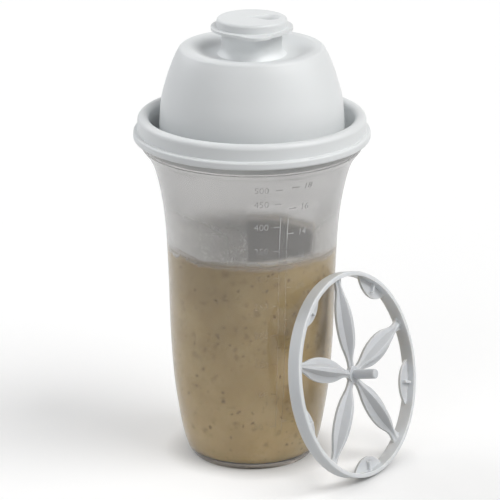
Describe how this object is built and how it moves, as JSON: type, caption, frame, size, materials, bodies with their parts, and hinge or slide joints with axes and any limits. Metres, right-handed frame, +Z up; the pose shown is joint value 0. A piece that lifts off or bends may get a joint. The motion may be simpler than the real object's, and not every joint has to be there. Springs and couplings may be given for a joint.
{
  "type": "dressing shaker bottle",
  "caption": "Shaker bottle for salad dressing: translucent flared cup with contents, domed press-on lid, snap cap on a pouring neck, loose spoked mixing wheel leaning on it.",
  "frame": {"origin": "middle of the underside of the cup's foot", "axes": "+Z up along the bottle's axis, -Y towards the front, where the cap's grip tab points; the mixing wheel leans at +X, -Y"},
  "size_m": [0.1243, 0.1154, 0.1974],
  "materials": {
    "cup_plastic": "translucent natural polypropylene, satin",
    "dressing": "creamy emulsion with herb flecks",
    "lid_plastic": "white satin polypropylene",
    "cap_plastic": "white satin polypropylene",
    "wheel_plastic": "white satin polypropylene with faint scratches"
  },
  "bodies": {
    "cup": {"cup": "cup_plastic", "dressing": "dressing"},
    "lid": {"lid": "lid_plastic"},
    "cap": {"cap": "cap_plastic"},
    "mixing_wheel": {"mixing_wheel": "wheel_plastic"}
  },
  "joints": [
    {"name": "lid_lift", "type": "slide", "parent": "cup", "child": "lid", "axis": [0, 0, 1], "range_m": [0, 0.03]},
    {"name": "cap_lift", "type": "slide", "parent": "lid", "child": "cap", "axis": [0, 0, 1], "range_m": [0, 0.02]},
    {"name": "wheel_tip", "type": "hinge", "parent": "cup", "child": "mixing_wheel", "pos_m": [0.05518, -0.03239, 0.00173], "axis": [0.5592, 0.829, 0], "range_deg": [0, 90]}
  ]
}
